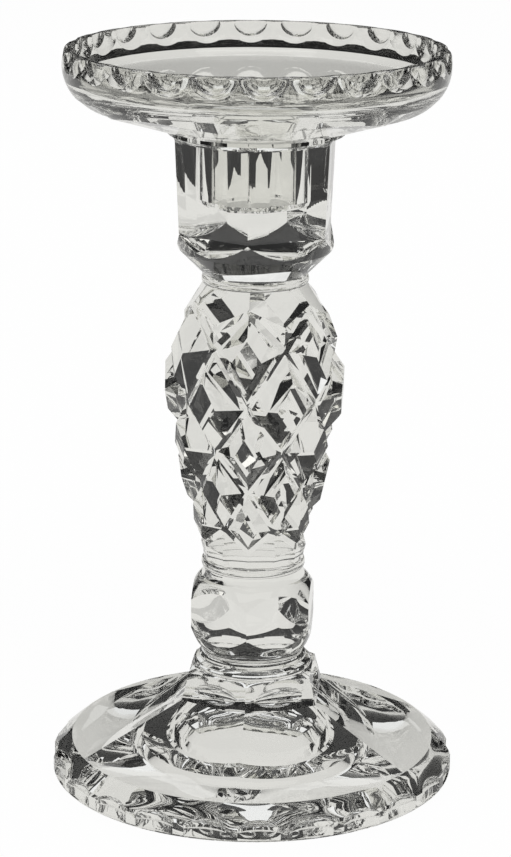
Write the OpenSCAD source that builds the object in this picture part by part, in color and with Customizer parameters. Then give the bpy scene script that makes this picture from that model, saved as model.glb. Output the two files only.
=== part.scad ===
// Glass candlestick: a scalloped drip dish on a six-sided candle socket, a diamond-cut
// baluster stem with a knop and rings, and a six-petalled scalloped foot.
// Each glass section is its own solid; they stand on each other on flat bonded faces.
// Millimetres, +Z up, origin at the centre of the rest face, a stem corner faces -Y.

/* [Foot] */
// Diameter of the foot over its plinth ring
foot_d = 104; // [84:1:130]
// Height of the foot from the table to the collar
foot_h = 20.4; // [17:0.2:26]
// Height of the plain plinth ring
plinth_h = 2.4; // [1.5:0.1:4]
// Step in from the plinth ring to the scalloped band
plinth_step = 1.2; // [0.6:0.1:2]
// Height of the outer edge of the scalloped band
band_h = 5.6; // [5:0.1:7]
// Height of the rim line where the petals start
rim_h = 8.4; // [7.4:0.1:10]
// Width of the sloping rim between the band and the petals
rim_w = 4; // [2.5:0.1:6]
// Depth of each petal hollow
petal_depth = 1.3; // [0.6:0.1:2]
// Diameter of the recess under the foot
recess_d = 58; // [44:1:70]
// Depth of the recess under the foot
recess_depth = 2.6; // [1:0.1:5]
// Diameter of the hollow dome inside that recess
dome_d = 41.2; // [34:0.2:43]
// Height of the dome's roof over the table
dome_h = 11.5; // [10:0.1:13]

/* [Rim scallops] */
// Number of thumbprints round each rim
scallops = 24; // [18:6:30]
// Depth of a thumbprint
scallop_depth = 1.2; // [0.6:0.1:1.8]

/* [Collar and rings] */
// Height of the six-sided collar
collar_h = 7.6; // [6:0.2:12]
// Width of the collar's top across its corners
collar_top_w = 35.8; // [31:0.2:44]
// Width of the collar's foot across its corners
collar_foot_w = 40; // [36:0.2:48]
// Width of the oval lens in each collar face
lens_w = 14.4; // [8:0.2:16]
// Height of the oval lens
lens_h = 5.2; // [3:0.1:6]
// Depth of the oval lens
lens_depth = 1.1; // [0.5:0.1:1.6]
// Height of the stepped ring pair above the collar
base_ring_h = 3.7; // [2.4:0.1:6]
// How far the lower bead stays inside the collar's flats
bead_inset = 0.2; // [0:0.1:1]
// Height of the thin ring at the waist
waist_ring_h = 2; // [1:0.1:4]
// Height of the thin ring at the neck
neck_ring_h = 1.9; // [1:0.1:4]
// How far a thin ring stands out past its joint faces
ring_lip = 0.4; // [0.2:0.1:1]

/* [Knop] */
// Height of the six-sided knop
knop_h = 23.3; // [18:0.1:32]
// Width of the knop across its corners
knop_w = 34.8; // [31:0.2:42]
// Radius that rounds the knop's ends
knop_round = 10; // [8:0.2:11]

/* [Baluster] */
// Height of the diamond-cut baluster
baluster_h = 72.6; // [56:0.2:96]
// Largest diameter of the baluster
belly_d = 45.3; // [38:0.1:56]
// Height of the belly above the baluster's foot
belly_z = 46; // [34:0.5:50]
// Depth at which the cuts between the diamonds cross, below the stem's swell
cut_depth = 4.2; // [2.5:0.1:4.6]
// Height above the swell at which each diamond's four slopes would meet
peak_rise = 4; // [2:0.1:5]
// Share of each slope that its flat table takes off
table_share = 0.44; // [0.3:0.02:0.6]
// Diameter of the joint faces at the base and the waist
waist_d = 25.8; // [22:0.2:30]
// Diameter of the joint faces at the neck
neck_d = 26.2; // [22:0.2:32]

/* [Candle socket] */
// Diameter of the candle bore
bore_d = 22.2; // [19:0.1:27]
// Depth of the candle bore below the dish floor
bore_depth = 29; // [20:0.5:36]
// Glass between the bore and the flats at the foot of the socket
socket_wall = 6.9; // [5:0.1:10]
// How much wider the socket is across flats at its top
socket_taper = 1.8; // [0:0.1:4]
// Height of the socket below the dish
socket_h = 36.8; // [32:0.2:48]
// Height of the conical bowl at the foot of the socket
bowl_h = 8.2; // [6:0.2:11]
// Height of the flared lip that the dish sits on
seat_lip_h = 2; // [1:0.1:4]
// How far that lip stands out past the socket's corners
seat_lip = 0.3; // [0.1:0.1:1]
// Wall of the round spigot that stands up through the dish
spigot_wall = 2.6; // [1.5:0.1:4]
// Gap that the bond fills round the spigot
bond_gap = 0.05; // [0.02:0.01:0.2]

/* [Drip dish] */
// Diameter of the drip dish
dish_d = 95.8; // [78:0.2:124]
// Height of the drip dish
dish_h = 20; // [17:0.2:26]
// Depth of the dish inside
dish_depth = 9.6; // [6:0.2:11]
// Wall of the dish at its rim
dish_wall = 4.2; // [3:0.1:6]
// Radius of the dish's outer lower corner
dish_corner_r = 10; // [7:0.2:12]
// Rise of the dish's underside from the socket to that corner
underside_rise = 5; // [3:0.2:7]
// Rise of the dish floor from the candle to the wall
floor_rise = 1; // [0:0.1:2]

/* [Hidden] */
$fn = 96;
eps = 0.02;
glass = [0.86, 0.89, 0.88, 0.45];

// The sections stand on each other: each one's foot is the top of the one below.
collar_z = foot_h;
base_ring_z = collar_z + collar_h;
knop_z = base_ring_z + base_ring_h;
waist_ring_z = knop_z + knop_h;
baluster_z = waist_ring_z + waist_ring_h;
neck_ring_z = baluster_z + baluster_h;
socket_z = neck_ring_z + neck_ring_h;
dish_z = socket_z + socket_h;

// A hexagon's distance across flats as a share of its width across corners.
flat = cos(30);

foot_r = foot_d / 2;
band_r = foot_r - plinth_step;
petal_edge_r = band_r - rim_w;
collar_foot_r = collar_foot_w / 2;
collar_top_r = collar_top_w / 2;
waist_r = waist_d / 2;
neck_r = neck_d / 2;
knop_r = knop_w / 2;
belly_r = belly_d / 2;
bore_r = bore_d / 2;
spigot_r = bore_r + spigot_wall;
dish_r = dish_d / 2;
cup_r = dish_r - dish_wall;
// Heights of the dish floor at the spigot, above the dish's seat and above the socket's foot
floor_h = dish_h - dish_depth;
spigot_h = socket_h + floor_h;

socket_foot_flat = bore_r + socket_wall;
socket_top_flat = socket_foot_flat + socket_taper / 2;
seat_r = socket_top_flat / flat + seat_lip;
// The bowl bulges midway between the flats and the corners above it.
bowl_r = socket_foot_flat * (1 + 1 / flat) / 2;

// Points along an arc of radius r round [x, y], from angle a to angle b.
function arc(x, y, r, a, b, steps = 8) =
    [for (i = [0:steps]) let (t = a + (b - a) * i / steps) [x + r * cos(t), y + r * sin(t)]];

// Radius of a ball or wheel edge that cuts a hollow of half width a to a depth.
function cut_radius(a, depth) = (a * a + depth * depth) / (2 * depth);

// A six-sided block with corners on the Y axis, from corner radius r0 up to r1.
module hex_block(r0, r1, h) {
    intersection_for (turn = [0, 60, 120])
        rotate([90, 0, turn])
            linear_extrude(height = 4 * max(r0, r1), center = true)
                polygon([[-r0 * flat, 0], [r0 * flat, 0], [r1 * flat, h], [-r1 * flat, h]]);
}

// Half the width of a thumbprint on a wall of radius r.
function print_half_w(r) = 0.45 * 2 * PI * r / scallops;

// Places its children at the middle of each thumbprint round a rim, with +X outwards.
module each_print() {
    for (i = [0:scallops - 1])
        rotate([0, 0, -90 + (i + 0.5) * 360 / scallops])
            children();
}

// Round hollows on the outside of a wall of radius r, centred at height z.
module outer_prints(r, z) {
    ball_r = cut_radius(print_half_w(r), scallop_depth);
    each_print()
        translate([r + ball_r - scallop_depth, 0, z])
            sphere(r = ball_r, $fn = 48);
}

// U-shaped hollows on the inside of a wall of radius r, centred at height z.
module inner_prints(r, z) {
    each_print()
        translate([r - 2, 0, z])
            rotate([0, 90, 0])
                cylinder(h = 2 + scallop_depth, r = print_half_w(r - 2), $fn = 48);
}

// A thin round ring whose edge stands out past its joint face.
module thin_ring(r, h) {
    rotate_extrude()
        polygon(concat([[0, 0]], arc(r + ring_lip - h / 2, h / 2, h / 2, -90, 90), [[0, h]]));
}

module foot() {
    rise = foot_h - rim_h;
    run = petal_edge_r - collar_foot_r;
    slope = atan2(rise, run);
    petal_ball = cut_radius(0.47 * norm([rise, run]), petal_depth);
    lift = petal_ball - petal_depth;
    color(glass) difference() {
        union() {
            // plinth ring
            rotate_extrude()
                polygon([[0, 0], [foot_r - 0.6, 0], [foot_r, 0.6], [foot_r, plinth_h], [0, plinth_h]]);
            // scalloped band, sloping rim and petalled dome
            difference() {
                rotate_extrude()
                    polygon([[0, plinth_h - eps], [band_r, plinth_h - eps], [band_r, band_h],
                             [petal_edge_r, rim_h], [collar_foot_r, foot_h], [0, foot_h]]);
                outer_prints(band_r, (plinth_h + rim_h) / 2);
                for (turn = [0:60:300])
                    rotate([0, 0, turn])
                        translate([petal_edge_r - run / 2 + lift * sin(slope), 0,
                                   rim_h + rise / 2 + lift * cos(slope)])
                            sphere(r = petal_ball);
            }
        }
        // recess under the foot
        translate([0, 0, -recess_depth])
            cylinder(h = 2 * recess_depth, r1 = recess_d / 2 + recess_depth, r2 = recess_d / 2 - recess_depth);
        // hollow dome under the middle, with a rounded shoulder
        shoulder = 10;
        rotate_extrude()
            polygon(concat(
                [[0, -1], [dome_d / 2, -1]],
                [for (a = [0:15:90]) [dome_d / 2 - shoulder * (1 - cos(a)), dome_h - shoulder * (1 - sin(a))]],
                [[0, dome_h]]));
    }
}

module hex_collar() {
    lens_wheel = cut_radius(lens_w / 2, lens_depth);
    lens_edge = cut_radius(lens_h / 2, lens_depth);
    face_r = flat * (collar_foot_r + collar_top_r) / 2;
    color(glass) translate([0, 0, collar_z]) difference() {
        hex_block(collar_foot_r, collar_top_r, collar_h);
        for (turn = [0:60:300])
            rotate([0, 0, turn])
                translate([face_r - lens_depth + lens_wheel, 0, collar_h / 2])
                    rotate_extrude()
                        translate([lens_wheel - lens_edge, 0])
                            circle(r = lens_edge, $fn = 32);
    }
}

module base_ring() {
    bead = base_ring_h / 4;
    color(glass) translate([0, 0, base_ring_z])
        rotate_extrude()
            polygon(concat([[0, 0]],
                           arc(collar_top_r * flat - bead_inset - bead, bead, bead, -90, 90),
                           arc(waist_r, 3 * bead, bead, -90, 90),
                           [[0, base_ring_h]]));
}

module lower_knop() {
    // angle at which the rounding meets the joint face's radius
    a = acos((waist_r - knop_r + knop_round) / knop_round);
    color(glass) translate([0, 0, knop_z]) intersection() {
        rotate_extrude()
            polygon(concat([[0, 0], [waist_r, 0]],
                           arc(knop_r - knop_round, knop_round, knop_round, -a, 0),
                           arc(knop_r - knop_round, knop_h - knop_round, knop_round, 0, a),
                           [[waist_r, knop_h], [0, knop_h]]));
        hex_block(knop_r, knop_r, knop_h);
    }
}

module waist_ring() {
    color(glass) translate([0, 0, waist_ring_z]) thin_ring(waist_r, waist_ring_h);
}

// The baluster's radius over its diamonds at height z: full at the belly, curving in to both ends.
function swell(z) = z < belly_z
    ? belly_r - (belly_r - waist_r) * pow((belly_z - z) / belly_z, 1.35)
    : belly_r - (belly_r - neck_r) * pow((z - belly_z) / (baluster_h - belly_z), 2.6);

// The baluster's rows of crossings, as shares of the height below and above the belly, each with
// the share of the cuts' depth and of the peaks' rise that it takes.
function baluster_rows() = concat(
    [for (s = [[0.117, 0.2, 0.1], [0.226, 0.92, 0.8], [0.463, 1, 1], [0.693, 1, 1], [0.957, 1, 1]])
        [s[0] * belly_z, s[1], s[2]]],
    [for (s = [[0.47, 0.86, 0.95], [0.812, 0.15, 0.2]])
        [belly_z + s[0] * (baluster_h - belly_z), s[1], s[2]]]);

module diamond_baluster() {
    sides = 12;
    half = sides / 2;
    rows = baluster_rows();
    last = len(rows) + 1;
    heights = concat([0], [for (row = rows) row[0]], [baluster_h]);

    function spot(r, j, z) = [r * cos(-90 + j * 360 / sides), r * sin(-90 + j * 360 / sides), z];
    // Every other point of a row is a crossing, and the rest are the peaks between them.
    function is_peak(i, j) = i > 0 && i < last && (i + j) % 2 == 0;
    function place(i, j) = spot(
        swell(heights[i]) + (i == 0 || i == last ? 0
            : is_peak(i, j) ? rows[i - 1][2] * peak_rise : -rows[i - 1][1] * cut_depth),
        j, heights[i]);
    // Numbers of the points: both ends' rings and the crossings come first, and then each peak's
    // table, whose four corners face left, right, down and up.
    function grid(i, j) = let (k = (j + sides) % sides)
        i == 0 ? k
        : i == last ? sides + half * (last - 1) + k
        : sides + half * (i - 1) + floor(k / 2);
    tables = 2 * sides + half * (last - 1);
    function table(i, j, way) = tables + 4 * (half * (i - 1) + floor(((j + sides) % sides) / 2)) + way;

    crossings = [for (i = [1:last - 1], j = [0:sides - 1]) if (!is_peak(i, j)) place(i, j)];
    tops = [for (i = [1:last - 1], j = [0:sides - 1]) if (is_peak(i, j))
        for (step = [[0, -1], [0, 1], [-1, 0], [1, 0]])
            place(i, j) * (1 - table_share) + place(i + step[0], j + step[1]) * table_share];
    points = concat([for (j = [0:sides - 1]) place(0, j)], crossings,
                    [for (j = [0:sides - 1]) place(last, j)], tops);

    // Each square between two rows holds one slope of the peak below it and one of the peak above;
    // at the ends, the joint face stands in for the missing peak.
    slopes = [for (i = [0:last - 1], j = [0:sides - 1])
        let (k = j + 1, on_left = (i + j) % 2 == 0)
        each on_left
            ? [i == 0 ? [grid(0, j), grid(0, k), grid(1, j)]
                : [table(i, j, 1), grid(i, k), grid(i + 1, j), table(i, j, 3)],
               i == last - 1 ? [grid(i, k), grid(last, k), grid(last, j)]
                : [grid(i, k), table(i + 1, k, 2), table(i + 1, k, 0), grid(i + 1, j)]]
            : [i == 0 ? [grid(0, j), grid(0, k), grid(1, k)]
                : [grid(i, j), table(i, k, 0), table(i, k, 3), grid(i + 1, k)],
               i == last - 1 ? [grid(i, j), grid(last, k), grid(last, j)]
                : [grid(i, j), grid(i + 1, k), table(i + 1, j, 1), table(i + 1, j, 2)]]];
    flats = [for (i = [1:last - 1], j = [0:sides - 1]) if (is_peak(i, j))
        each [[table(i, j, 0), table(i, j, 2), table(i, j, 3)],
              [table(i, j, 2), table(i, j, 1), table(i, j, 3)]]];
    ends = [[for (j = [sides - 1:-1:0]) grid(0, j)], [for (j = [0:sides - 1]) grid(last, j)]];
    // the faces are listed from outside round to the left, and polyhedron takes them to the right
    faces = [for (face = concat(ends, slopes, flats)) [for (n = [len(face) - 1:-1:0]) face[n]]];
    color(glass) translate([0, 0, baluster_z]) polyhedron(points = points, faces = faces);
}

module neck_ring() {
    color(glass) translate([0, 0, neck_ring_z]) thin_ring(neck_r, neck_ring_h);
}

module candle_socket() {
    corner_r = socket_foot_flat / flat + seat_lip;
    bore_foot_h = spigot_h - bore_depth;
    color(glass) translate([0, 0, socket_z]) difference() {
        // round blank: conical bowl, body, seat and spigot round the candle bore
        rotate_extrude()
            polygon([[0, 0], [neck_r, 0], [neck_r, 0.6], [bowl_r, bowl_h - 1.6], [bowl_r, bowl_h + 0.3],
                     [corner_r, bowl_h + 0.3 + (corner_r - bowl_r) * 1.6],
                     [seat_r, socket_h - seat_lip_h], [seat_r, socket_h],
                     [spigot_r, socket_h], [spigot_r, spigot_h],
                     [bore_r, spigot_h], [bore_r, bore_foot_h], [0, bore_foot_h]]);
        // six tapered flats, flaring out under the seat
        for (turn = [0:60:300])
            rotate([90, 0, turn])
                linear_extrude(height = 2 * seat_r, center = true)
                    polygon([[socket_foot_flat, bowl_h], [2 * seat_r, bowl_h],
                             [2 * seat_r, socket_h - 0.4], [seat_r + 0.5, socket_h - 0.4],
                             [socket_top_flat, socket_h - seat_lip_h]]);
    }
}

module drip_dish() {
    corner = arc(dish_r - dish_corner_r, underside_rise + dish_corner_r, dish_corner_r, -72, 0);
    wall_h = floor_h + floor_rise;
    cove = 2;
    color(glass) translate([0, 0, dish_z]) difference() {
        rotate_extrude()
            polygon(concat([[spigot_r + bond_gap, 0], [seat_r, 0]],
                           corner,
                           arc(dish_r - 1, dish_h - 1, 1, 0, 90, 4),
                           arc(cup_r + 1, dish_h - 1, 1, 90, 180, 4),
                           arc(cup_r - cove, wall_h + cove, cove, 0, -90, 6),
                           [[spigot_r + bond_gap, floor_h]]));
        outer_prints(dish_r, dish_h - 4);
        inner_prints(cup_r, dish_h - 0.6);
    }
}

foot();
hex_collar();
base_ring();
lower_knop();
waist_ring();
diamond_baluster();
neck_ring();
candle_socket();
drip_dish();
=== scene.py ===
"""Clear glass candlestick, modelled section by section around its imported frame.

Every section is a closed glass mesh of its own. Where two sections are bonded, their flat joint
faces carry a finish that light passes straight through, as it does through a good glass bond.
Lengths in the size fields are millimetres; meshes are in metres.
"""

import logging
import math
from collections.abc import Callable
from dataclasses import dataclass, field
from enum import Enum

import bmesh
import bpy
from mathutils import Matrix, Vector


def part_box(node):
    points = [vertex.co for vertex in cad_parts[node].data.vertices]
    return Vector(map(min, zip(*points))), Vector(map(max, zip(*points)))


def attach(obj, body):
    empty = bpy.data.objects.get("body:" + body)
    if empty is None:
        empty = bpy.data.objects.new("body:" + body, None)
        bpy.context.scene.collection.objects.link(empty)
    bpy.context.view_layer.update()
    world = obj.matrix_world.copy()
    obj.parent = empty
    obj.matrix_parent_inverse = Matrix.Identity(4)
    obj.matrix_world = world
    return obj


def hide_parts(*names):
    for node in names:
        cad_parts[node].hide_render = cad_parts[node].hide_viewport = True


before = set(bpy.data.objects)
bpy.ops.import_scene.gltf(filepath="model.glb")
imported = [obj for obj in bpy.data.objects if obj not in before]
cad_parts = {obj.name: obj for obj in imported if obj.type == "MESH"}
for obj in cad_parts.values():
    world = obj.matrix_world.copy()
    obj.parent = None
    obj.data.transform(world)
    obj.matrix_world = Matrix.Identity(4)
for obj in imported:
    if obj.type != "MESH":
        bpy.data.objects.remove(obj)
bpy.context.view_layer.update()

LOG = logging.getLogger("candlestick")
MM = 0.001
# Gap under which points are one, and within which two heights, radii or angles are the same.
SAME_PLACE = 0.002
NEAR = 0.01
# Upward part of a normal over which a face is level, and under which it is upright.
LEVEL = 0.99
UPRIGHT = 0.1
CORNERS = 6
COLUMNS = 192
SCALLOPS = 24


class Slot(Enum):
    """Which of a piece's two finishes a face takes."""

    GLASS = 0
    BOND = 1


@dataclass(frozen=True)
class Station:
    """One ring of a turned outline.

    Args:
        r: Radius of the ring, in millimetres.
        z: Height of the ring, in millimetres.
    """

    r: float
    z: float


Form = Callable[[float], Station]


def arc(centre: Station, radius: float, start: float, end: float, steps: int = 6) -> list[Station]:
    """Lays stations along a round stretch of an outline.

    Args:
        centre: Centre of the arc, in the outline's plane.
        radius: Radius of the arc.
        start: First angle, in degrees from straight out.
        end: Last angle.
        steps: Number of stretches between stations.

    Returns:
        The stations, both ends included.
    """
    angles = [math.radians(start + (end - start) * i / steps) for i in range(steps + 1)]
    return [Station(centre.r + radius * math.cos(a), centre.z + radius * math.sin(a)) for a in angles]


def across_flats(corner_r: float) -> float:
    """Gives how far from the axis the flats of a hexagon lie, from its corner radius."""
    return corner_r * math.cos(math.pi / CORNERS)


def hexagon(turn: float) -> float:
    """Gives a hexagon's radius as a share of its corner radius.

    Args:
        turn: Angle from the middle of a side, in radians.

    Returns:
        The share, which is 1 at a corner.
    """
    return math.cos(math.pi / CORNERS) / math.cos(turn)


def lift(turn: float) -> float:
    """Tells how far a flat cut through a round end has risen.

    Args:
        turn: Angle from the middle of a side, in radians.

    Returns:
        0 at the middle of the side and 1 at a corner.
    """
    return (1 / math.cos(turn) - 1) / (1 / math.cos(math.pi / CORNERS) - 1)


# ---------------------------------------------------------------------------- finishes


@dataclass(frozen=True)
class ClearGlass:
    """Polished clear glass with the slow waves and faint haze of pressed ware.

    Args:
        name: Name of the material.
        tint: Colour that the glass gives to light at each surface.
        ior: Index of refraction.
        wave_size: Width of the slow waves in the surface, in millimetres.
        wave_height: Height of those waves, in millimetres.
        polish: Roughness of the cleanest and the haziest patches.
        haze_span: Strengths of the haze pattern between which the polish changes.
    """

    name: str
    tint: tuple[float, float, float] = (0.92, 0.92, 0.888)
    ior: float = 1.52
    wave_size: float = 9.0
    wave_height: float = 0.02
    polish: tuple[float, float] = (0.0, 0.012)
    haze_span: tuple[float, float] = (0.45, 0.75)

    def make(self) -> bpy.types.Material:
        """Builds the node material and returns it."""
        material = bpy.data.materials.new(self.name)
        material.use_nodes = True
        nodes, links = material.node_tree.nodes, material.node_tree.links
        shader = nodes["Principled BSDF"]
        shader.inputs["Base Color"].default_value = (*self.tint, 1.0)
        shader.inputs["Transmission Weight"].default_value = 1.0
        shader.inputs["IOR"].default_value = self.ior
        place = nodes.new("ShaderNodeTexCoord")
        haze = nodes.new("ShaderNodeTexNoise")
        haze.inputs["Scale"].default_value = 1 / (3 * self.wave_size * MM)
        haze.inputs["Detail"].default_value = 3.0
        spread = nodes.new("ShaderNodeMapRange")
        spread.inputs["From Min"].default_value = self.haze_span[0]
        spread.inputs["From Max"].default_value = self.haze_span[1]
        spread.inputs["To Min"].default_value = self.polish[0]
        spread.inputs["To Max"].default_value = self.polish[1]
        waves = nodes.new("ShaderNodeTexNoise")
        waves.inputs["Scale"].default_value = 1 / (self.wave_size * MM)
        waves.inputs["Detail"].default_value = 1.0
        bump = nodes.new("ShaderNodeBump")
        bump.inputs["Strength"].default_value = 1.0
        bump.inputs["Distance"].default_value = self.wave_height * MM
        links.new(place.outputs["Object"], haze.inputs["Vector"])
        links.new(place.outputs["Object"], waves.inputs["Vector"])
        links.new(haze.outputs["Fac"], spread.inputs["Value"])
        links.new(spread.outputs["Result"], shader.inputs["Roughness"])
        links.new(waves.outputs["Fac"], bump.inputs["Height"])
        links.new(bump.outputs["Normal"], shader.inputs["Normal"])
        return material


@dataclass(frozen=True)
class BondedFace:
    """The joint face between two bonded sections, which light crosses unbent.

    Args:
        name: Name of the material.
        clearness: Share of the light that its dimmest and its clearest patches let through.
        film_scale: Scale of the film's pattern.
    """

    name: str = "bonded_face"
    clearness: tuple[float, float] = (0.985, 1.0)
    film_scale: float = 200.0

    def make(self) -> bpy.types.Material:
        """Builds the node material and returns it."""
        material = bpy.data.materials.new(self.name)
        material.use_nodes = True
        nodes, links = material.node_tree.nodes, material.node_tree.links
        nodes.remove(nodes["Principled BSDF"])
        through = nodes.new("ShaderNodeBsdfTransparent")
        place = nodes.new("ShaderNodeTexCoord")
        film = nodes.new("ShaderNodeTexNoise")
        film.inputs["Scale"].default_value = self.film_scale
        shade = nodes.new("ShaderNodeMapRange")
        shade.inputs["To Min"].default_value = self.clearness[0]
        shade.inputs["To Max"].default_value = self.clearness[1]
        links.new(place.outputs["Object"], film.inputs["Vector"])
        links.new(film.outputs["Fac"], shade.inputs["Value"])
        links.new(shade.outputs["Result"], through.inputs["Color"])
        links.new(through.outputs["BSDF"], nodes["Material Output"].inputs["Surface"])
        return material


@dataclass(frozen=True)
class PaleCard:
    """A matt studio surface that gives off some light of its own.

    Args:
        name: Name of the material.
        colour: Its colour.
        glow: Strength of the light it gives off.
        whiteness: How much of the light that falls on it comes back.
        grain_scale: Scale of its weave.
        grain_strength: How far the weave shows.
    """

    name: str
    colour: tuple[float, float, float]
    glow: float
    whiteness: float = 0.0
    grain_scale: float = 60.0
    grain_strength: float = 0.02

    def make(self) -> bpy.types.Material:
        """Builds the node material and returns it."""
        material = bpy.data.materials.new(self.name)
        material.use_nodes = True
        nodes, links = material.node_tree.nodes, material.node_tree.links
        shader = nodes["Principled BSDF"]
        shader.inputs["Roughness"].default_value = 0.9
        shader.inputs["Specular IOR Level"].default_value = 0.0
        shader.inputs["Base Color"].default_value = (*[c * self.whiteness for c in self.colour], 1.0)
        shader.inputs["Emission Color"].default_value = (*self.colour, 1.0)
        shader.inputs["Emission Strength"].default_value = self.glow
        place = nodes.new("ShaderNodeTexCoord")
        grain = nodes.new("ShaderNodeTexNoise")
        grain.inputs["Scale"].default_value = self.grain_scale
        bump = nodes.new("ShaderNodeBump")
        bump.inputs["Strength"].default_value = self.grain_strength
        links.new(place.outputs["Object"], grain.inputs["Vector"])
        links.new(grain.outputs["Fac"], bump.inputs["Height"])
        links.new(bump.outputs["Normal"], shader.inputs["Normal"])
        return material


# ---------------------------------------------------------------------------- modelling


def deselect() -> None:
    """Deselects every object."""
    bpy.ops.object.select_all(action="DESELECT")


def only(piece: bpy.types.Object) -> None:
    """Makes one object the selected and active one.

    Args:
        piece: The object.
    """
    deselect()
    piece.select_set(True)
    bpy.context.view_layer.objects.active = piece


class Lathe:
    """Turns a blank ring by ring, from a circle pulled up into stations.

    Args:
        name: Name of the piece.
        start: The first ring.
        filled: Whether the first ring is a face, which closes the blank's ends.
        columns: Number of points round each ring.
    """

    def __init__(self, name: str, start: Station, filled: bool = True, columns: int = COLUMNS) -> None:
        """Adds the first ring and opens it for pulling."""
        deselect()
        bpy.ops.mesh.primitive_circle_add(
            vertices=columns,
            radius=start.r * MM,
            fill_type="NGON" if filled else "NOTHING",
            location=(0, 0, start.z * MM),
        )
        self.piece = bpy.context.active_object
        self.piece.name = name
        self.piece.data.name = name
        bpy.ops.object.transform_apply(location=True, rotation=True, scale=True)
        bpy.ops.object.mode_set(mode="EDIT")
        bpy.ops.mesh.select_all(action="SELECT")
        self.last = start
        self.plain = True

    def pull(self, station: Station, form: Form | None = None) -> None:
        """Pulls the newest ring on to the next station of the outline.

        Args:
            station: Where the ring goes.
            form: Takes a point's angle from the middle of its side, in radians, and gives its own
                place in the outline. A plain ring has none.
        """
        if form is None and self.plain:
            rise = (station.z - self.last.z) * MM
            bpy.ops.mesh.extrude_region_move(TRANSFORM_OT_translate={"value": (0, 0, rise)})
            share = station.r / self.last.r
            bpy.ops.transform.resize(value=(share, share, 1), center_override=(0, 0, 0))
        else:
            bpy.ops.mesh.extrude_region_move()
            self.place_ring(form or (lambda turn: station))
        self.plain = form is None
        self.last = station

    def pull_all(self, stations: list[Station]) -> None:
        """Pulls plain rings through a list of stations."""
        for station in stations:
            self.pull(station)

    def place_ring(self, form: Form) -> None:
        """Moves each group of matching points of the newest ring to its own place.

        Args:
            form: Takes a point's angle from the middle of its side and gives its place.
        """
        mesh = self.piece.data
        shape = bmesh.from_edit_mesh(mesh)
        side = 2 * math.pi / CORNERS
        groups: dict[float, list[int]] = {}
        places: dict[float, Vector] = {}
        for vert in shape.verts:
            if vert.select:
                turn = round(abs(math.atan2(vert.co.x, -vert.co.y) % side - side / 2), 4)
                groups.setdefault(turn, []).append(vert.index)
                places[turn] = vert.co.copy()
        for turn, members in groups.items():
            goal, now = form(turn), places[turn]
            share = goal.r * MM / math.hypot(now.x, now.y)
            select_points(mesh, members)
            bpy.ops.transform.resize(value=(share, share, 1), center_override=(0, 0, 0))
            bpy.ops.transform.translate(value=(0, 0, goal.z * MM - now.z))
        select_points(mesh, [i for members in groups.values() for i in members])

    def close(self) -> bpy.types.Object:
        """Joins the last ring to the first where they meet, and leaves the lathe.

        Returns:
            The finished piece.
        """
        bpy.ops.mesh.select_all(action="SELECT")
        bpy.ops.mesh.remove_doubles(threshold=SAME_PLACE * MM)
        bpy.ops.mesh.normals_make_consistent(inside=False)
        bpy.ops.object.mode_set(mode="OBJECT")
        return self.piece


def select_points(mesh: bpy.types.Mesh, members: list[int]) -> None:
    """Selects only the given points of a mesh in edit mode, and what lies between them.

    Args:
        mesh: The mesh that is open for editing.
        members: Numbers of the points.
    """
    shape = bmesh.from_edit_mesh(mesh)
    for vert in shape.verts:
        vert.select = False
    for edge in shape.edges:
        edge.select = False
    for face in shape.faces:
        face.select = False
    shape.verts.ensure_lookup_table()
    for index in members:
        shape.verts[index].select = True
    shape.select_flush(True)
    bmesh.update_edit_mesh(mesh, loop_triangles=False, destructive=False)


def ring_of_copies(cutter: bpy.types.Object, count: int, first: float) -> bpy.types.Object:
    """Copies a cutter round the axis and joins the copies.

    Args:
        cutter: The finished cutter, pointing out along +X.
        count: Number of cutters round the ring.
        first: Angle of the first one from +X, in radians.

    Returns:
        One object that holds the whole ring.
    """
    copies = []
    for i in range(count):
        one = cutter.copy()
        one.data = cutter.data.copy()
        bpy.context.collection.objects.link(one)
        one.data.transform(Matrix.Rotation(first + i * 2 * math.pi / count, 4, "Z"))
        copies.append(one)
    bpy.data.objects.remove(cutter)
    deselect()
    for one in copies:
        one.select_set(True)
    bpy.context.view_layer.objects.active = copies[0]
    bpy.ops.object.join()
    return bpy.context.active_object


def pebble(place: tuple[float, float, float], size: tuple[float, float, float]) -> bpy.types.Object:
    """Makes a smooth egg-shaped cutter.

    Args:
        place: Its centre, in millimetres.
        size: Its half widths, in millimetres.

    Returns:
        The cutter.
    """
    deselect()
    bpy.ops.mesh.primitive_uv_sphere_add(segments=48, ring_count=24, radius=1.0)
    cutter = bpy.context.active_object
    cutter.scale = [s * MM for s in size]
    cutter.location = [p * MM for p in place]
    bpy.ops.object.transform_apply(location=True, rotation=True, scale=True)
    return cutter


def column(place: tuple[float, float, float], radius: float, tall: float) -> bpy.types.Object:
    """Makes an upright round cutter.

    Args:
        place: Its centre, in millimetres.
        radius: Its radius, in millimetres.
        tall: Its height, in millimetres.

    Returns:
        The cutter.
    """
    deselect()
    bpy.ops.mesh.primitive_cylinder_add(
        vertices=96, radius=radius * MM, depth=tall * MM, location=[p * MM for p in place])
    cutter = bpy.context.active_object
    bpy.ops.object.transform_apply(location=True, rotation=True, scale=True)
    return cutter


def cut_away(piece: bpy.types.Object, cutter: bpy.types.Object) -> None:
    """Cuts a cutter's shape out of a piece and throws the cutter away.

    Args:
        piece: The piece to cut.
        cutter: The cutter, whose parts don't overlap one another.
    """
    only(piece)
    cut = piece.modifiers.new("cut", "BOOLEAN")
    cut.operation = "DIFFERENCE"
    cut.solver = "EXACT"
    cut.object = cutter
    bpy.ops.object.modifier_apply(modifier=cut.name)
    bpy.data.objects.remove(cutter)
    if not piece.data.polygons:
        raise RuntimeError(f"nothing is left of {piece.name} after a cut")


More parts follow.
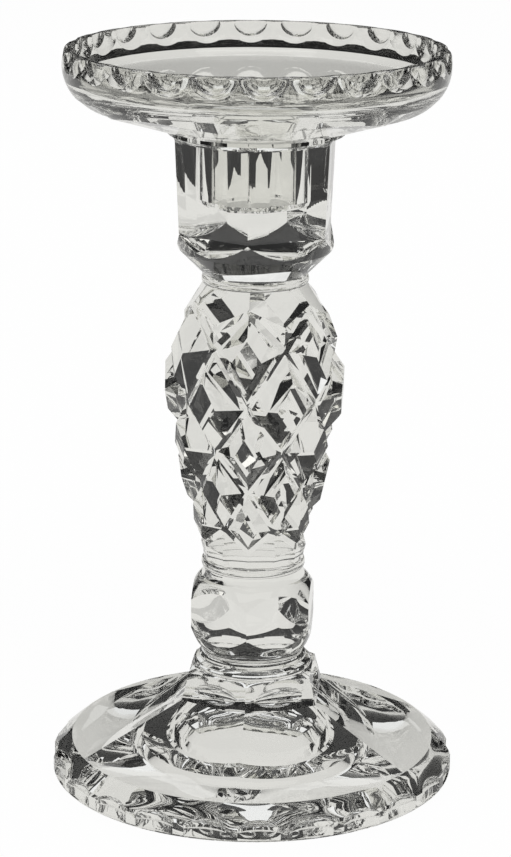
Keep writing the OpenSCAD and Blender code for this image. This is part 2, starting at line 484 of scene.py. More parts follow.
def mark_bonds(piece: bpy.types.Object, is_bond: Callable[[Vector, Vector], bool]) -> None:
    """Gives the bond's finish to the joint faces.

    Args:
        piece: The piece to dress.
        is_bond: Takes a face's centre in millimetres and its normal, and says if it is bonded.
    """
    for face in piece.data.polygons:
        bonded = is_bond(face.center / MM, face.normal)
        face.material_index = (Slot.BOND if bonded else Slot.GLASS).value


def is_level_at(centre: Vector, normal: Vector, *heights: float) -> bool:
    """Says whether a face is level and lies at one of the given heights.

    Args:
        centre: Middle of the face, in millimetres.
        normal: Direction that it faces.
        heights: The heights, in millimetres.

    Returns:
        True if it does.
    """
    return abs(normal.z) > LEVEL and any(abs(centre.z - height) < NEAR for height in heights)


# ---------------------------------------------------------------------------- sections


@dataclass
class Section:
    """One bonded glass section of the candlestick.

    Args:
        node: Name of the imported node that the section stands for.
        wave_size: Width of the slow waves in its surface, in millimetres.
        wave_height: Height of those waves, in millimetres.
        crisp: Angle past which an edge stays crisp, in degrees.
    """

    node: str
    wave_size: float = 9.0
    wave_height: float = 0.02
    crisp: float = 18.0
    foot_z: float = field(init=False)
    top_z: float = field(init=False)
    widest_r: float = field(init=False)

    def __post_init__(self) -> None:
        """Takes the section's place and size from the frame."""
        low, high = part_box(self.node)
        self.foot_z, self.top_z = low[2] / MM, high[2] / MM
        self.widest_r = high[0] / MM

    def build(self) -> bpy.types.Object:
        """Models the section and returns it; each kind of section has its own way."""
        raise NotImplementedError

    def dress(self, piece: bpy.types.Object, bond: bpy.types.Material) -> None:
        """Gives the piece its finishes and its place in the candlestick.

        Args:
            piece: The modelled section.
            bond: Finish of the joint faces.
        """
        glass = ClearGlass(f"{self.node}_glass", wave_size=self.wave_size, wave_height=self.wave_height)
        piece.data.materials.clear()
        piece.data.materials.append(glass.make())
        piece.data.materials.append(bond)
        mark_bonds(piece, self.is_bond)
        only(piece)
        bpy.ops.object.shade_smooth_by_angle(angle=math.radians(self.crisp))
        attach(piece, "root")
        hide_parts(self.node)
        LOG.info("%s: %d faces", piece.name, len(piece.data.polygons))

    def is_bond(self, centre: Vector, normal: Vector) -> bool:
        """Says whether a face is bonded to a neighbour; level ends are."""
        return is_level_at(centre, normal, self.foot_z, self.top_z)


@dataclass
class Foot(Section):
    """The round foot: plinth, thumbprints, sloping rim and six hollow petals.

    Args:
        ridge_r: Radius of the petals' outer corners.
        rim_z: Height of the petals' outer edge.
        collar_r: Corner radius of the collar's seat.
        scoop: Depth of the petals.
        petal_rings: Number of rings from the petals' edge to the collar.
        hollow: Radii and heights of the hollow under the foot, from its roof out.
        edge: Steps in from the widest radius, and heights, of the plinth and the band.
        plinth_wall: Radius of the round cuts between the plinth's posts, and their two ends' heights.
        plinth_recess: Depth of those cuts.
        plinth_z: Height of the ledge under the thumbprints.
        print_half: Half widths of a thumbprint's cutter.
        print_depth: Depth of a thumbprint.
    """

    node: str = "foot"
    ridge_r: float = 47.0
    rim_z: float = 8.5
    collar_r: float = 20.0
    scoop: float = 1.9
    petal_rings: int = 14
    hollow: tuple[tuple[float, float], ...] = (
        (8, 11.5), (12.5, 10.7), (16, 8.9), (18.4, 6.3), (19.8, 3.0), (20.6, 2.3),
        (26.8, 2.0), (28.4, 1.0), (29.2, 0.3), (30.2, 0.0),
    )
    edge: tuple[tuple[float, float], ...] = (
        (0.7, 0.0), (0.2, 0.2), (0.0, 0.7), (0.0, 2.2), (0.0, 3.8), (0.4, 4.6),
        (1.2, 5.3), (2.2, 6.2), (3.4, 7.2), (4.2, 7.9), (5.0, 8.4),
    )
    plinth_wall: tuple[float, float, float] = (16.0, 0.45, 2.61)
    plinth_recess: float = 1.2
    plinth_z: float = 2.6
    print_half: tuple[float, float, float] = (4.4, 6.6, 4.9)
    print_depth: float = 2.3

    def build(self) -> bpy.types.Object:
        """Turns the foot, hollows its petals and cuts its thumbprints."""
        hollow = [Station(*place) for place in self.hollow]
        lathe = Lathe("foot_body", hollow[0])
        lathe.pull_all(hollow[1:])
        lathe.pull_all([Station(self.widest_r - step, height) for step, height in self.edge])
        for i in range(self.petal_rings + 1):
            self.pull_petals(lathe, i / self.petal_rings)
        piece = lathe.close()
        first = math.pi / SCALLOPS - math.pi / 2
        cut_away(piece, ring_of_copies(self.thumb(), SCALLOPS, first))
        wheel_r, low, high = self.plinth_wall
        middle = (self.widest_r + wheel_r - self.plinth_recess, 0, (low + high) / 2)
        cut_away(piece, ring_of_copies(column(middle, wheel_r, high - low), SCALLOPS, first))
        return piece

    def thumb(self) -> bpy.types.Object:
        """Makes the cutter of one thumbprint, which ends level with the ledge.

        Returns:
            The cutter.
        """
        out, wide, high = self.print_half
        place = (self.widest_r + out - self.print_depth, 0, self.plinth_z)
        cutter = pebble(place, (out, wide, high))
        only(cutter)
        bpy.ops.object.mode_set(mode="EDIT")
        bpy.ops.mesh.select_all(action="SELECT")
        ledge = (0, 0, self.plinth_z * MM)
        bpy.ops.mesh.bisect(plane_co=ledge, plane_no=(0, 0, 1), clear_inner=True, use_fill=True)
        bpy.ops.object.mode_set(mode="OBJECT")
        return cutter

    def pull_petals(self, lathe: Lathe, share: float) -> None:
        """Pulls one ring of the petals.

        Args:
            lathe: The lathe that holds the foot.
            share: How far the ring is from the petals' outer edge to the collar, from 0 to 1.
        """
        corner_r = self.ridge_r + (self.collar_r - self.ridge_r) * share
        height = self.rim_z + (self.top_z - self.rim_z) * share
        depth = self.scoop * math.sin(math.pi * share) ** 0.7 if 0 < share < 1 else 0.0
        if share == 0:
            corner_r -= 0.05
        lathe.pull(
            Station(corner_r, height),
            lambda turn: Station(corner_r * hexagon(turn), height - depth * math.cos(3 * turn)),
        )

    def is_bond(self, centre: Vector, normal: Vector) -> bool:
        """Only the seat of the collar is bonded."""
        return is_level_at(centre, normal, self.top_z)


@dataclass
class Collar(Section):
    """The six-sided collar with an oval lens in each face.

    Args:
        foot_r: Corner radius of its foot.
        edge_r: Corner radius of its upper edge.
        bead_r: Radius of its round joint faces.
        edge_drop: How far the upper edge's corners drop.
        lens_half: Half widths of a lens's cutter.
        lens_depth: Depth of a lens.
    """

    node: str = "hex_collar"
    foot_r: float = 20.0
    edge_r: float = 18.0
    bead_r: float = 15.6
    edge_drop: float = 0.55
    lens_half: tuple[float, float, float] = (2.6, 7.2, 2.75)
    lens_depth: float = 1.5

    def build(self) -> bpy.types.Object:
        """Turns the six-sided block and cuts its lenses."""
        lathe = Lathe("hex_collar_body", Station(self.bead_r, self.foot_z))
        lathe.pull(
            Station(self.foot_r, self.foot_z),
            lambda turn: Station(self.foot_r * hexagon(turn), self.foot_z),
        )
        edge_z = self.top_z - 0.02
        lathe.pull(
            Station(self.edge_r, edge_z),
            lambda turn: Station(self.edge_r * hexagon(turn), edge_z - self.edge_drop * lift(turn)),
        )
        lathe.pull(
            Station(self.bead_r, self.top_z - 0.01),
            lambda turn: Station(min(self.bead_r, self.edge_r * hexagon(turn) - 0.03), self.top_z),
        )
        piece = lathe.close()
        middle = (self.foot_z + self.top_z) / 2 - 0.1
        face_r = across_flats((self.foot_r + self.edge_r) / 2)
        out, wide, high = self.lens_half
        cutter = pebble((face_r + out - self.lens_depth, 0, middle), (out, wide, high))
        cut_away(piece, ring_of_copies(cutter, CORNERS, 0.0))
        return piece


@dataclass
class RingPair(Section):
    """The stepped pair of rounded beads above the collar.

    Args:
        joint_r: Radius of its upper joint face.
    """

    node: str = "base_ring"
    joint_r: float = 12.9

    def build(self) -> bpy.types.Object:
        """Turns both beads in one blank."""
        bead = (self.top_z - self.foot_z) / 4
        lower = arc(Station(self.widest_r - bead, self.foot_z + bead), bead, -90, 75)
        upper = arc(Station(self.joint_r, self.foot_z + 3 * bead), bead, -60, 90)
        lathe = Lathe("base_ring_beads", lower[0])
        lathe.pull_all(lower[1:] + upper)
        return lathe.close()


@dataclass
class ThinRing(Section):
    """A thin round joining ring.

    Args:
        piece_name: Name of the modelled ring.
        joint_r: Radius of its two bonded faces.
    """

    piece_name: str = ""
    joint_r: float = 12.9

    def build(self) -> bpy.types.Object:
        """Turns the ring with a rounded edge."""
        half = (self.top_z - self.foot_z) / 2
        bulge = (self.widest_r - self.joint_r) / half
        round_edge = arc(Station(0.0, self.foot_z + half), half, -90, 90, 8)
        outline = [Station(self.joint_r + station.r * bulge, station.z) for station in round_edge]
        lathe = Lathe(self.piece_name, outline[0])
        lathe.pull_all(outline[1:])
        return lathe.close()


@dataclass
class Knop(Section):
    """The six-sided knop, whose flats end in arcs against its round ends.

    Args:
        joint_r: Radius of its joint faces.
        flat_r: Distance of its flats from the axis.
        low_arc: Heights of the lower arcs over the joint, at the middle of a side and at a corner.
        high_arc: The same for the upper arcs, down from the upper joint.
        steps: Shares of the way from a round end to its arcs at which rings are pulled.
    """

    node: str = "lower_knop"
    joint_r: float = 12.9
    flat_r: float = 15.07
    low_arc: tuple[float, float] = (4.75, 8.2)
    high_arc: tuple[float, float] = (4.4, 7.5)
    steps: tuple[float, ...] = (0.25, 0.5, 0.75, 1.0)

    def arc_ring(
        self, lathe: Lathe, start: Station, share: float, rise: float, heights: tuple[float, float]
    ) -> None:
        """Pulls a ring part of the way from a round end to the flats' arcs.

        Args:
            lathe: The lathe that holds the knop.
            start: Where the round end begins.
            share: How far the ring is along the round end, from 0 to 1.
            rise: 1 for the lower end and -1 for the upper one.
            heights: Distance of the arcs from the joint, at the middle of a side and at a corner.
        """
        joint_z = self.foot_z if rise > 0 else self.top_z

        def form(turn: float) -> Station:
            """Places a point between the round end and the arc."""
            edge_r = self.flat_r / math.cos(turn)
            edge_z = joint_z + rise * (heights[0] + (heights[1] - heights[0]) * lift(turn))
            return Station(
                start.r + (edge_r - start.r) * share,
                start.z + (edge_z - start.z) * share ** 1.5,
            )

        lathe.pull(Station(self.flat_r, joint_z), form)

    def build(self) -> bpy.types.Object:
        """Turns the knop from its lower joint to its upper one."""
        low, top = self.foot_z, self.top_z
        lathe = Lathe("lower_knop_body", Station(self.joint_r, low))
        start = Station(13.6, low + 1.9)
        lathe.pull_all([Station(13.0, low + 0.6), Station(13.25, low + 1.3), start])
        for share in self.steps:
            self.arc_ring(lathe, start, share, 1, self.low_arc)
        start = Station(13.3, top - 2.4)
        for share in reversed(self.steps):
            self.arc_ring(lathe, start, share, -1, self.high_arc)
        lathe.pull_all([start, Station(13.0, top - 1.4), Station(self.joint_r, top)])
        return lathe.close()


@dataclass(frozen=True)
class Diamonds:
    """A ring of raised diamonds round the stem.

    Args:
        on_corners: Whether the diamonds stand on the hexagon's corners or between them.
        cross_r: Radius of the cuts' crossings at the diamonds' height.
        cross_z: Height of those crossings, in millimetres over the floor.
        peak_r: Distance from the axis at which the diamonds' four slopes would meet.
        peak_z: Height of that meeting point.
        table_r: Distance from the axis of the flat table that truncates each diamond.
        lean: How far out the table leans for each millimetre up.
    """

    on_corners: bool
    cross_r: float
    cross_z: float
    peak_r: float
    peak_z: float
    table_r: float = 0.0
    lean: float = 0.0


@dataclass
class Baluster(Section):
    """The swelling stem, cut with a lattice of raised, flat-topped diamonds.

    Args:
        joint_r: Radius of its lower joint face.
        neck_r: Radius of its upper joint face.
        band: Half width of the flat bands between the diamonds.
        rows: The rings of diamonds, from the foot up.
    """

    node: str = "diamond_baluster"
    joint_r: float = 12.9
    neck_r: float = 13.1
    band: float = 0.85
    rows: tuple[Diamonds, ...] = (
        Diamonds(False, 12.9, 62.4, 13.5, 60.8),
        Diamonds(True, 11.9, 67.4, 19.3, 69.0, 15.8, 0.25),
        Diamonds(False, 14.15, 78.3, 22.4, 78.4, 18.3, 0.22),
        Diamonds(True, 16.3, 88.9, 24.6, 89.5, 20.6, 0.18),
        Diamonds(False, 18.3, 101.0, 27.3, 101.7, 22.4, 0.05),
        Diamonds(True, 17.7, 115.5, 25.6, 112.8, 21.5, -0.12),
        Diamonds(False, 16.5, 124.6, 17.9, 121.6),
    )

    def build(self) -> bpy.types.Object:
        """Raises the stem row by row, joins the crossings, levels the peaks and widens the cuts."""
        lathe = Lathe("diamond_baluster_body", Station(self.joint_r, self.foot_z), columns=2 * CORNERS)
        lathe.pull(Station(self.joint_r, self.foot_z + 1.2))
        for row in self.rows:
            peak, crossing = Station(row.peak_r, row.peak_z), Station(row.cross_r, row.cross_z)
            lathe.pull(crossing, lambda turn: peak if (turn > NEAR) == row.on_corners else crossing)
        lathe.pull(Station(self.neck_r, self.top_z))
        self.join_crossings(lathe)
        self.level_peaks()
        self.widen_cuts(lathe)
        return lathe.close()

    def is_crossing(self, place: Vector) -> bool:
        """Says whether a point is a crossing of the cuts.

        Args:
            place: The point, in metres.

        Returns:
            True if it is.
        """
        side = 2 * math.pi / CORNERS
        on_corner = abs(math.atan2(place.x, -place.y) % side - side / 2) > NEAR
        reach = math.hypot(place.x, place.y) / MM
        return any(
            abs(place.z / MM - row.cross_z) < NEAR
            and abs(reach - row.cross_r) < NEAR
            and on_corner != row.on_corners
            for row in self.rows
        )

    def join_crossings(self, lathe: Lathe) -> None:
        """Draws the cuts between neighbouring crossings.

        Args:
            lathe: The lathe that holds the stem.
        """
        mesh = lathe.piece.data
        shape = bmesh.from_edit_mesh(mesh)
        select_points(mesh, [v.index for v in shape.verts if self.is_crossing(v.co)])
        bpy.ops.mesh.vert_connect()

    def level_peaks(self) -> None:
        """Cuts each peak down to its flat table."""
        for row in self.rows:
            if not row.table_r:
                continue
            for i in range(CORNERS):
                azimuth = (i + (0.0 if row.on_corners else 0.5)) * 2 * math.pi / CORNERS
                out = Vector((math.sin(azimuth), -math.cos(azimuth), 0))
                table = (out * row.table_r + Vector((0, 0, row.peak_z))) * MM
                facing = out - Vector((0, 0, row.lean))
                bpy.ops.mesh.select_all(action="SELECT")
                bpy.ops.mesh.bisect(plane_co=table, plane_no=facing, use_fill=True, clear_outer=True)

    def widen_cuts(self, lathe: Lathe) -> None:
        """Widens the cuts between crossings into flat bands.

        Args:
            lathe: The lathe that holds the stem.
        """
        mesh = lathe.piece.data
        shape = bmesh.from_edit_mesh(mesh)
        cuts = {v.index for v in shape.verts if self.is_crossing(v.co)}
        bpy.ops.mesh.select_all(action="DESELECT")
        bpy.ops.mesh.select_mode(type="EDGE")
        shape = bmesh.from_edit_mesh(mesh)
        for edge in shape.edges:
            edge.select = all(v.index in cuts for v in edge.verts)
        bmesh.update_edit_mesh(mesh, loop_triangles=False, destructive=False)
        bpy.ops.mesh.bevel(offset=self.band * MM, segments=1, affect="EDGES")
        bpy.ops.mesh.select_mode(type="VERT")


@dataclass
class CandleSocket(Section):
    """The six-sided socket with its candle bore, conical bowl and spigot.

    Args:
        joint_r: Radius of its lower joint face.
        bowl_r: Radius of the bowl's rim.
        low_flat_r: Distance of the flats from the axis, low down.
        high_corner_r: Corner radius under the seat.
        seat_r: Radius of the dish's seat.
        spigot_r: Radius of the spigot.
        bore_r: Radius of the candle bore.
        bore_depth: Depth of the candle bore.
        scoop_steps: Shares of the way from the bowl's rim to the flats at which rings are pulled.
    """

    node: str = "candle_socket"
    joint_r: float = 13.1
    bowl_r: float = 19.5
    low_flat_r: float = 18.05
    high_corner_r: float = 21.9
    seat_r: float = 22.1
    spigot_r: float = 13.7
    bore_r: float = 11.1
    bore_depth: float = 29.0
    scoop_steps: tuple[float, ...] = (0.0, 0.2, 0.4, 0.6, 0.8, 1.0)
    seat_z: float = field(init=False)

    def __post_init__(self) -> None:
        """Takes the seat's height from the dish that stands on it."""
        super().__post_init__()
        self.seat_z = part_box("drip_dish")[0][2] / MM

    def build(self) -> bpy.types.Object:
        """Turns the socket from its joint up, over the spigot and down the bore."""
        low, z = self.foot_z, self.seat_z
        lathe = Lathe("candle_socket_body", Station(self.joint_r, low))
        lathe.pull_all([Station(13.1, low + 0.4), Station(13.6, low + 1.0), Station(18.4, low + 5.8)])
        lathe.pull_all([Station(19.1, low + 6.5), Station(19.4, low + 7.1)])
        for share in self.scoop_steps:
            self.scoop_ring(lathe, share)
        for share in (0.0, 0.25, 0.6, 1.0):
            self.shoulder_ring(lathe, share)
        lathe.pull_all([Station(self.seat_r, z - 0.5), Station(self.seat_r, z), Station(self.spigot_r, z)])
        floor = self.top_z - self.bore_depth
        lathe.pull_all([Station(self.spigot_r, self.top_z), Station(self.bore_r, self.top_z)])
        lathe.pull_all([Station(self.bore_r, floor + 1.6), Station(self.bore_r - 0.4, floor + 0.6)])
        lathe.pull(Station(self.bore_r - 1.4, floor))
        return lathe.close()

    def scoop_ring(self, lathe: Lathe, share: float) -> None:
        """Pulls a ring part of the way from the bowl's rim, through the scoops, to the flats.

        Args:
            lathe: The lathe that holds the socket.
            share: How far the ring is along that way, from 0 to 1.
        """
        low = self.foot_z

        def form(turn: float) -> Station:
            """Places a point between the bowl's rim and the flats."""
            rim_r = self.bowl_r + (self.low_flat_r / math.cos(math.pi / CORNERS) - self.bowl_r) * lift(turn)
            rim_z = low + 7.5 + 3.9 * lift(turn)
            flat_r = self.low_flat_r / math.cos(turn)
            reach = flat_r + (rim_r - flat_r) * (1 - share) ** 2
            return Station(reach, rim_z + (low + 11.7 - rim_z) * share)

        lathe.pull(Station(self.bowl_r, low + 7.5), form)

    def shoulder_ring(self, lathe: Lathe, share: float) -> None:
        """Pulls a ring part of the way from the six-sided wall to the round seat.

        Args:
            lathe: The lathe that holds the socket.
            share: How far the ring is along that way, from 0 to 1.
        """
        height = self.seat_z - 2.5 + 1.6 * share

        def form(turn: float) -> Station:
            """Places a point between the wall and the seat."""
            wall_r = self.high_corner_r * hexagon(turn)
            return Station(wall_r + (self.seat_r - wall_r) * share ** 2, height)

        lathe.pull(Station(self.high_corner_r, height), form)

    def is_bond(self, centre: Vector, normal: Vector) -> bool:
        """The foot, the seat and the spigot's side are bonded; the spigot's top is not."""
        if is_level_at(centre, normal, self.foot_z, self.seat_z):
            return True
        reach = math.hypot(centre.x, centre.y)
        return centre.z > self.seat_z and abs(normal.z) < UPRIGHT and reach > self.bore_r + 1


@dataclass
class DripDish(Section):
    """The drip dish: thick floor, upright wall and thumbprints inside and out.

    Args:
        seat_r: Radius of its seat on the socket.
        spigot_r: Radius of its central hole.
        wall: Thickness of its wall.
        corner_r: Radius of the round corner under the wall.
        corner_z: Height of that corner's centre over the seat.
        panel_reach: Outer radii of the panels underneath, at the middle of one and at a ridge.
        panel_turn: Angle below level at which the round corner takes over from the panels.
        print_rise: Height of the thumbprints' centres over the rim.
        outer_print: Step out from the wall's outside, and half widths, of an outer print's cutter.
        inner_print: Step in from the wall's inside, and half widths, of an inner print's cutter.
    """

    node: str = "drip_dish"
    seat_r: float = 22.1
    spigot_r: float = 13.7
    wall: float = 4.2
    corner_r: float = 11.0
    corner_z: float = 16.0
    panel_reach: tuple[float, float] = (44.0, 38.3)
    panel_turn: float = -46.0
    print_rise: float = 0.3
    outer_print: tuple[float, float, float, float] = (1.7, 3.3, 6.5, 5.8)
    inner_print: tuple[float, float, float, float] = (1.7, 3.3, 6.8, 6.6)
    floor_z: float = field(init=False)

    def __post_init__(self) -> None:
        """Takes the floor's height from the spigot that comes up through it."""
        super().__post_init__()
        self.floor_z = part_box("candle_socket")[1][2] / MM

    def build(self) -> bpy.types.Object:
        """Turns the dish and cuts its thumbprints."""
        r, low, top = self.widest_r, self.foot_z, self.top_z
        cup_r = r - self.wall
        outside = self.rounded_corner(self.panel_turn)
        outside += [Station(r, top - 2.6), Station(r - 0.2, top - 1.2)]
        outside += arc(Station(r - 1.3, top - 0.9), 0.9, 20, 90, 4)
        inside = arc(Station(cup_r + 0.9, top - 0.9), 0.9, 90, 165, 4)
        inside += [Station(cup_r, top - 3), Station(cup_r - 0.1, top - 6)]
        inside += arc(Station(cup_r - 2.6, self.floor_z + 3.5), 2.5, 0, -85, 6)
        inside += [Station(36, self.floor_z + 0.8), Station(24, self.floor_z + 0.3)]
        inside.append(Station(self.spigot_r, self.floor_z))
        lathe = Lathe("drip_dish_body", Station(self.spigot_r, low), filled=False)
        lathe.pull(Station(self.seat_r, low))
        for share in (0.03, 0.25, 0.5, 0.75, 1.0):
            self.pull_panels(lathe, share)
        lathe.pull_all(outside + inside + [Station(self.spigot_r, low)])
        piece = lathe.close()
        self.cut_prints(piece, r + self.outer_print[0], self.outer_print[1:])
        self.cut_prints(piece, cup_r - self.inner_print[0], self.inner_print[1:])
        return piece

    def cut_prints(self, piece: bpy.types.Object, place_r: float, size: tuple[float, float, float]) -> None:
        """Cuts one row of thumbprints, every other print at a time, because neighbours meet.

        Args:
            piece: The dish.
            place_r: Distance of the cutters' centres from the axis.
            size: The cutters' half widths.
        """
        for first in (1, 3):
            cutter = pebble((place_r, 0, self.top_z + self.print_rise), size)
            start = first * math.pi / SCALLOPS - math.pi / 2
            cut_away(piece, ring_of_copies(cutter, SCALLOPS // 2, start))

    def rounded_corner(self, start: float) -> list[Station]:
        """Lays the outline of the round corner up to the wall.

        Args:
            start: Angle at which it begins, in degrees from level.

        Returns:
            Its stations, without the first, which the panels already reach.
        """
        centre = Station(self.widest_r - self.corner_r, self.foot_z + self.corner_z)
        return arc(centre, self.corner_r, start, 0, 8)[1:]

    def pull_panels(self, lathe: Lathe, share: float) -> None:
        """Pulls one ring of the six flat panels under the dish.

        Args:
            lathe: The lathe that holds the dish.
            share: How far the ring is from the seat to the panels' curved outer edge, from 0 to 1.
        """
        middle_r, ridge_r = self.panel_reach
        centre = Station(self.widest_r - self.corner_r, self.foot_z + self.corner_z)

        def form(turn: float) -> Station:
            """Places a point between the seat and the panels' outer edge."""
            edge_r = middle_r + (ridge_r - middle_r) * lift(turn)
            edge_z = centre.z - math.sqrt(self.corner_r ** 2 - max(edge_r - centre.r, 0.0) ** 2)
            return Station(
                self.seat_r + (edge_r - self.seat_r) * share,
                self.foot_z + (edge_z - self.foot_z) * share,
            )

        lathe.pull(Station(middle_r, self.foot_z), form)

    def is_bond(self, centre: Vector, normal: Vector) -> bool:
        """The seat and the wall of the central hole are bonded."""
        if is_level_at(centre, normal, self.foot_z):
            return True
        return math.hypot(centre.x, centre.y) < self.spigot_r + 0.05 and abs(normal.z) < UPRIGHT


# ---------------------------------------------------------------------------- studio


@dataclass(frozen=True)
class Studio:
    """The camera, floor and light round the candlestick.

    Args:
        reach: Distance from the camera to the candlestick's axis, in millimetres.
        eye_z: Height of the camera, in millimetres.
        turn: How far round from -Y the camera stands, in degrees.
        tilt: How far down it looks, in degrees.
        roll: How far it leans, in degrees.
        aside: How far it stands to the right of the axis.
        lens: Focal length for a picture as tall as film_h, in millimetres.
        film_h: Height of the film, in millimetres.
        middle_z: Height of the candlestick's middle, from which rises are measured.
        light_r: Distance of the soft lights.
        screen_r: Distance of the curved screens.
        wall_r: Distance of the wall.
        wall_h: Height of the wall.
        paper: Width and length of the white paper that the glass sees.
        paper_y: How far behind the candlestick the paper's middle lies.
        table: Width and length of the table and the dark cloth.
        sky: Shades of the dim room, by the upward part of a direction.
    """

    reach: float = 712.6
    eye_z: float = 297.57
    turn: float = 5.3
    tilt: float = 16.16
    roll: float = 0.45
    aside: float = 0.33
    lens: float = 122.59
    film_h: float = 36.0
    middle_z: float = 90.0
    light_r: float = 1500.0
    screen_r: float = 1500.0
    wall_r: float = 3900.0
    wall_h: float = 3000.0
    paper: tuple[float, float] = (1500.0, 2400.0)
    paper_y: float = 500.0
    table: tuple[float, float] = (8000.0, 8000.0)
    sky: tuple[tuple[float, float], ...] = ((0, 0.02), (0.5, 0.02), (0.92, 0.1))

    def camera(self) -> None:
        """Sets up the camera."""
        eye = bpy.data.cameras.new("eye")
        eye.sensor_fit = "VERTICAL"
        eye.sensor_height = self.film_h
        eye.lens = self.lens
        eye.clip_start = 0.01
        holder = bpy.data.objects.new("eye", eye)
        bpy.context.scene.collection.objects.link(holder)
        turn = math.radians(self.turn)
        place = Vector((math.sin(turn), -math.cos(turn), 0)) * self.reach
        place += Vector((math.cos(turn), math.sin(turn), 0)) * self.aside
        place.z = self.eye_z
        aim = Matrix.Rotation(turn, 4, "Z") @ Matrix.Rotation(math.radians(90 - self.tilt), 4, "X")
        lean = Matrix.Rotation(math.radians(self.roll), 4, "Z")
        holder.matrix_world = Matrix.Translation(place * MM) @ aim @ lean
        bpy.context.scene.camera = holder

    def card(
        self,
        name: str,
        centre: tuple[float, float, float],
        size: tuple[float, float],
        facing: tuple[float, float, float],
        finish: PaleCard,
    ) -> bpy.types.Object:
        """Stands a flat card in the studio.

        Args:
            name: Name of the card.
            centre: Its middle, in millimetres.
            size: Its width and height, in millimetres.
            facing: Direction that its face looks.
            finish: Its finish.

        Returns:
            The card.
        """
        deselect()
        bpy.ops.mesh.primitive_plane_add(size=1.0)
        card = bpy.context.active_object
        card.name = name
        aim = Vector(facing).to_track_quat("Z", "Y").to_matrix().to_4x4()
        spread = Matrix.Diagonal((size[0] * MM, size[1] * MM, 1, 1))
        card.data.transform(Matrix.Translation(Vector(centre) * MM) @ aim @ spread)
        card.data.materials.append(finish.make())
        return card

    def softbox(
        self, name: str, middle: float, rise: float, size: tuple[float, float], finish: PaleCard
    ) -> None:
        """Hangs a flat soft light that faces the candlestick.

        Args:
            name: Name of the light.
            middle: Where it hangs, in degrees round from the camera.
            rise: How high it hangs, in degrees up from the candlestick.
            size: Its width and height, in millimetres.
            finish: Its finish.
        """
        turn = math.radians(self.turn - 90 + middle)
        up = math.radians(rise)
        way = Vector((math.cos(turn) * math.cos(up), math.sin(turn) * math.cos(up), math.sin(up)))
        centre = way * self.light_r + Vector((0, 0, self.middle_z))
        self.card(name, tuple(centre), size, tuple(-way), finish)

    def band(
        self, name: str, radius: float, span: tuple[float, float], finish: PaleCard
    ) -> bpy.types.Object:
        """Stands an upright round band about the axis.

        Args:
            name: Name of the band.
            radius: Its radius, in millimetres.
            span: Heights of its lower and upper edges, in millimetres.
            finish: Its finish.

        Returns:
            The band.
        """
        deselect()
        low, high = span
        bpy.ops.mesh.primitive_cylinder_add(
            vertices=120,
            radius=radius * MM,
            depth=(high - low) * MM,
            end_fill_type="NOTHING",
            location=(0, 0, (high + low) / 2 * MM),
        )
        band = bpy.context.active_object
        band.name = name
        bpy.ops.object.transform_apply(location=True, rotation=True, scale=True)
        band.data.materials.append(finish.make())
        return band

    def screen(
        self, name: str, middle: float, width: float, rise: tuple[float, float], finish: PaleCard
    ) -> None:
        """Hangs a curved screen that the camera doesn't see but the glass bends into view.

        Args:
            name: Name of the screen.
            middle: Where its middle hangs, in degrees round from the camera.
            width: How far round it reaches, in degrees.
            rise: How high its lower and upper edges are, in degrees up from the candlestick.
            finish: Its finish.
        """
        low, high = (self.screen_r * math.tan(math.radians(edge)) + self.middle_z for edge in rise)
        screen = self.band(name, self.screen_r, (low, high), finish)
        for face in screen.data.polygons:
            turn = math.degrees(math.atan2(face.center.x, -face.center.y)) - self.turn
            face.select = abs((turn - middle + 180) % 360 - 180) > width / 2
        bpy.ops.object.mode_set(mode="EDIT")
        bpy.ops.mesh.select_mode(type="FACE")
        bpy.ops.mesh.delete(type="FACE")
        bpy.ops.mesh.select_mode(type="VERT")
        bpy.ops.object.mode_set(mode="OBJECT")
        screen.visible_camera = False

    def wall(self) -> None:
        """Stands a plain pale wall round the studio, for the eye only; the glass sees the screens."""
        finish = PaleCard("white_wall", (1.0, 1.0, 1.0), 0.97)
        wall = self.band("wall", self.wall_r, (0.0, self.wall_h), finish)
        wall.visible_transmission = False
        wall.visible_glossy = False
        wall.visible_diffuse = False

    def lay_table(self) -> None:
        """Lays the table for the eye, and the paper and the dark cloth that the glass sees."""
        up = (0, 0, 1)
        white = PaleCard("white_table", (1.0, 1.0, 1.0), 0.97, 0.12)
        table = self.card("table", (0, 0, -0.05), self.table, up, white)
        table.visible_transmission = False
        table.visible_glossy = False
        colour = (1.0, 0.995, 0.98)
        sheet_white = PaleCard("paper", colour, 0.8)
        sheet_dark = PaleCard("cloth", colour, 0.014)
        paper = self.card("paper", (0, self.paper_y, -0.3), self.paper, up, sheet_white)
        cloth = self.card("cloth", (0, self.paper_y, -1.5), self.table, up, sheet_dark)
        for sheet in (paper, cloth):
            sheet.visible_camera = False

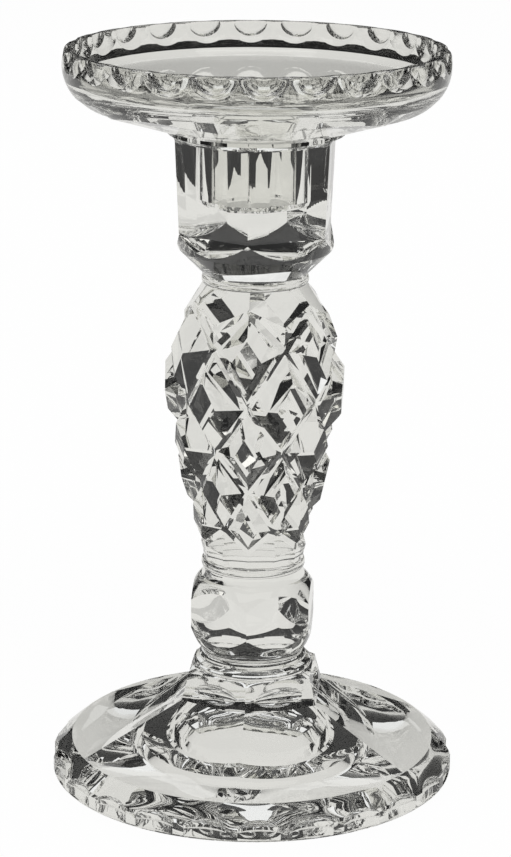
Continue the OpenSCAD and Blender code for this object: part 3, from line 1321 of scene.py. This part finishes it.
    def light(self) -> None:
        """Lays the table and hangs the lights, the screens and the wall."""
        self.lay_table()
        top = PaleCard("top_cloth", (1.0, 0.99, 0.97), 1.1)
        back = PaleCard("back_cloth", (0.97, 0.98, 1.0), 1.0)
        self.softbox("top_light", 0, 58, (1800, 620), top)
        self.softbox("back_light", 180, 38, (1100, 520), back)
        self.screen("backdrop", 180, 90, (-3, 12), PaleCard("backdrop", (0.98, 0.99, 1.0), 0.85))
        self.screen("grey_front", 0, 80, (-3, 28), PaleCard("grey_cloth", (0.95, 0.98, 1.0), 0.25))
        self.wall()
        self.room()

    def room(self) -> None:
        """Sets the dim room beyond the screens, a little lighter overhead."""
        world = bpy.data.worlds.new("studio")
        bpy.context.scene.world = world
        world.use_nodes = True
        nodes, links = world.node_tree.nodes, world.node_tree.links
        way = nodes.new("ShaderNodeTexCoord")
        parts = nodes.new("ShaderNodeSeparateXYZ")
        fade = nodes.new("ShaderNodeValToRGB")
        stops = fade.color_ramp.elements
        for place, shade in self.sky:
            stop = stops[0] if place == 0 else stops.new(place)
            stop.color = (shade, shade * 1.01, shade * 1.03, 1)
        stops.remove(stops[-1])
        links.new(way.outputs["Generated"], parts.inputs["Vector"])
        links.new(parts.outputs["Z"], fade.inputs["Fac"])
        links.new(fade.outputs["Color"], nodes["Background"].inputs["Color"])

    def film(self) -> None:
        """Sets how light is followed through glass and how it is shown."""
        scene = bpy.context.scene
        scene.view_settings.view_transform = "Standard"
        scene.cycles.max_bounces = 24
        scene.cycles.transmission_bounces = 24
        scene.cycles.glossy_bounces = 12
        scene.cycles.transparent_max_bounces = 24
        scene.cycles.caustics_reflective = False
        scene.cycles.caustics_refractive = False


def main() -> None:
    """Builds the studio and every section of the candlestick, from the foot up."""
    logging.basicConfig(level=logging.INFO, format="%(name)s %(message)s")
    studio = Studio()
    studio.camera()
    bond = BondedFace().make()
    sections = [
        Foot(),
        Collar(),
        RingPair(),
        Knop(),
        ThinRing("waist_ring", piece_name="waist_ring_bead"),
        Baluster(),
        ThinRing("neck_ring", piece_name="neck_ring_bead", joint_r=13.1),
        CandleSocket(),
        DripDish(),
    ]
    for section in sections:
        section.dress(section.build(), bond)
    studio.light()
    studio.film()


if __name__ == "__main__":
    main()
